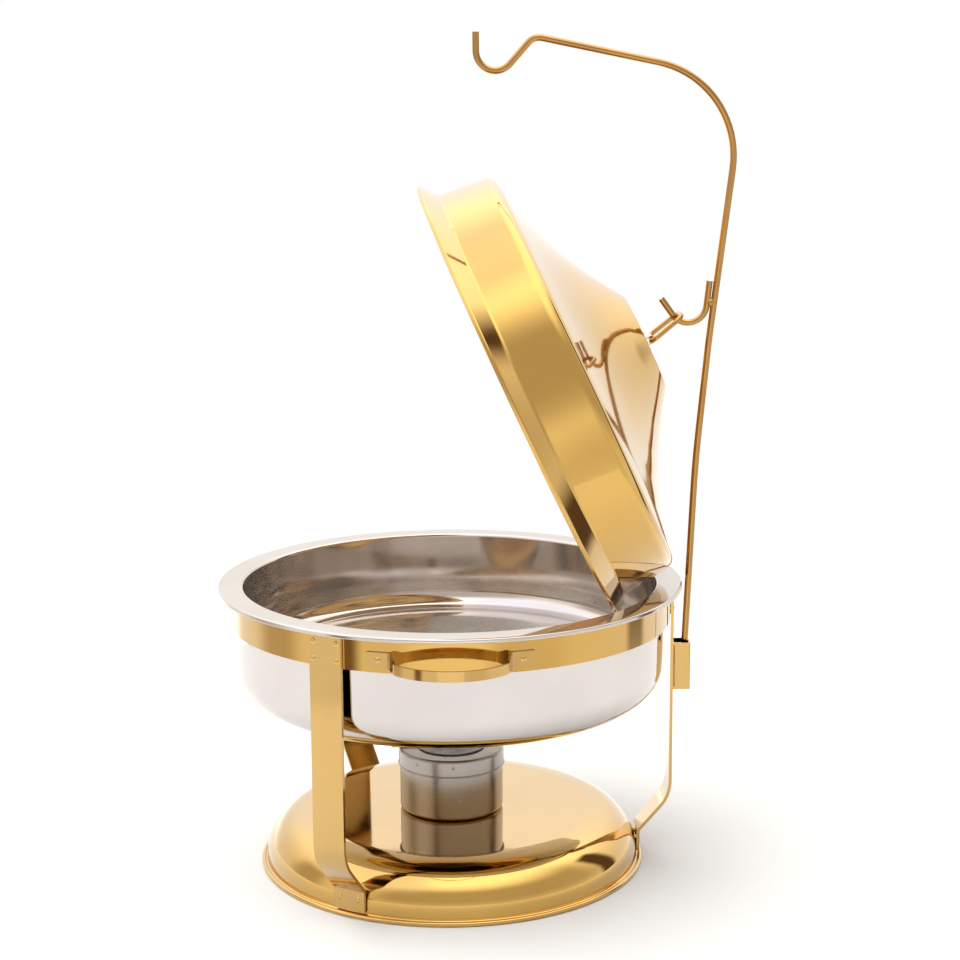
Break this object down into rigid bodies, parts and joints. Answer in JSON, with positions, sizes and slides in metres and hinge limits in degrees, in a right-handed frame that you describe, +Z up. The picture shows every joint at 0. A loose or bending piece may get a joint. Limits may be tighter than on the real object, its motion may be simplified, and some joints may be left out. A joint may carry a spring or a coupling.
{
  "type": "chafing dish",
  "caption": "Round food warmer: nested pans hung in a ring on strap legs over a dished base, fuel holder below, domed lid hung open by its bail on a removable hooked side arm.",
  "frame": {"origin": "centre of the base's resting plane, on the axis of the base, ring and pans", "axes": "+Z up; -Y towards the front handle; +X towards the leg that carries the lid arm"},
  "size_m": [0.3652, 0.3716, 0.588],
  "materials": {
    "gold": "mirror-polished gold-coloured steel",
    "mirror_steel": "mirror-polished stainless steel",
    "brushed_steel": "brushed stainless steel",
    "wick": "packed mineral wool"
  },
  "bodies": {
    "stand": {"base_plate": "gold", "leg_front_left": "gold", "leg_right": "gold", "leg_back_left": "gold", "ring_band": "gold", "ring_joiner": "gold", "handle_front": "gold", "handle_back": "gold", "leg_top_rivets": "gold", "leg_foot_rivets": "gold", "handle_rivets": "gold", "arm_socket": "gold", "socket_welds": "gold"},
    "arm": {"arm_rod": "gold", "arm_foot": "gold", "lid_hook": "gold", "hook_weld": "gold", "foot_weld": "gold"},
    "bail": {"lid_bail": "gold"},
    "lid": {"lid_shell": "gold", "bail_clip": "gold", "clip_rivets": "gold"},
    "food_pan": {"food_pan": "mirror_steel"},
    "water_pan": {"water_pan": "mirror_steel"},
    "fuel_holder": {"fuel_cup": "brushed_steel", "fuel_wick": "wick", "fuel_cover": "brushed_steel", "damper_pivot": "brushed_steel"},
    "damper": {"fuel_damper": "brushed_steel"}
  },
  "joints": [
    {"name": "arm_lift", "type": "slide", "parent": "stand", "child": "arm", "axis": [0, 0, 1], "range_m": [0, 0.042]},
    {"name": "lid_lift_off", "type": "slide", "parent": "arm", "child": "bail", "axis": [-0.5838, 0, 0.8119], "range_m": [0, 0.15]},
    {"name": "lid_tilt", "type": "hinge", "parent": "bail", "child": "lid", "pos_m": [0.14174, 0, 0.37722], "axis": [0, 1, 0], "range_deg": [0, 12]},
    {"name": "food_pan_lift", "type": "slide", "parent": "stand", "child": "food_pan", "axis": [0, 0, 1], "range_m": [0, 0.06]},
    {"name": "water_pan_lift", "type": "slide", "parent": "stand", "child": "water_pan", "axis": [0, 0, 1], "range_m": [0, 0.03]},
    {"name": "fuel_holder_slide", "type": "slide", "parent": "stand", "child": "fuel_holder", "axis": [0.4924, -0.8704, 0], "range_m": [0, 0.21]},
    {"name": "damper_swing", "type": "hinge", "parent": "fuel_holder", "child": "damper", "pos_m": [-0.0315, 0, 0.0823], "axis": [0, 0, 1], "range_deg": [0, 100]}
  ],
  "couplings": [
    {"joint": "food_pan_lift", "follows": "lid_lift_off", "ratio": 0.4},
    {"joint": "water_pan_lift", "follows": "lid_lift_off", "ratio": 0.2}
  ]
}
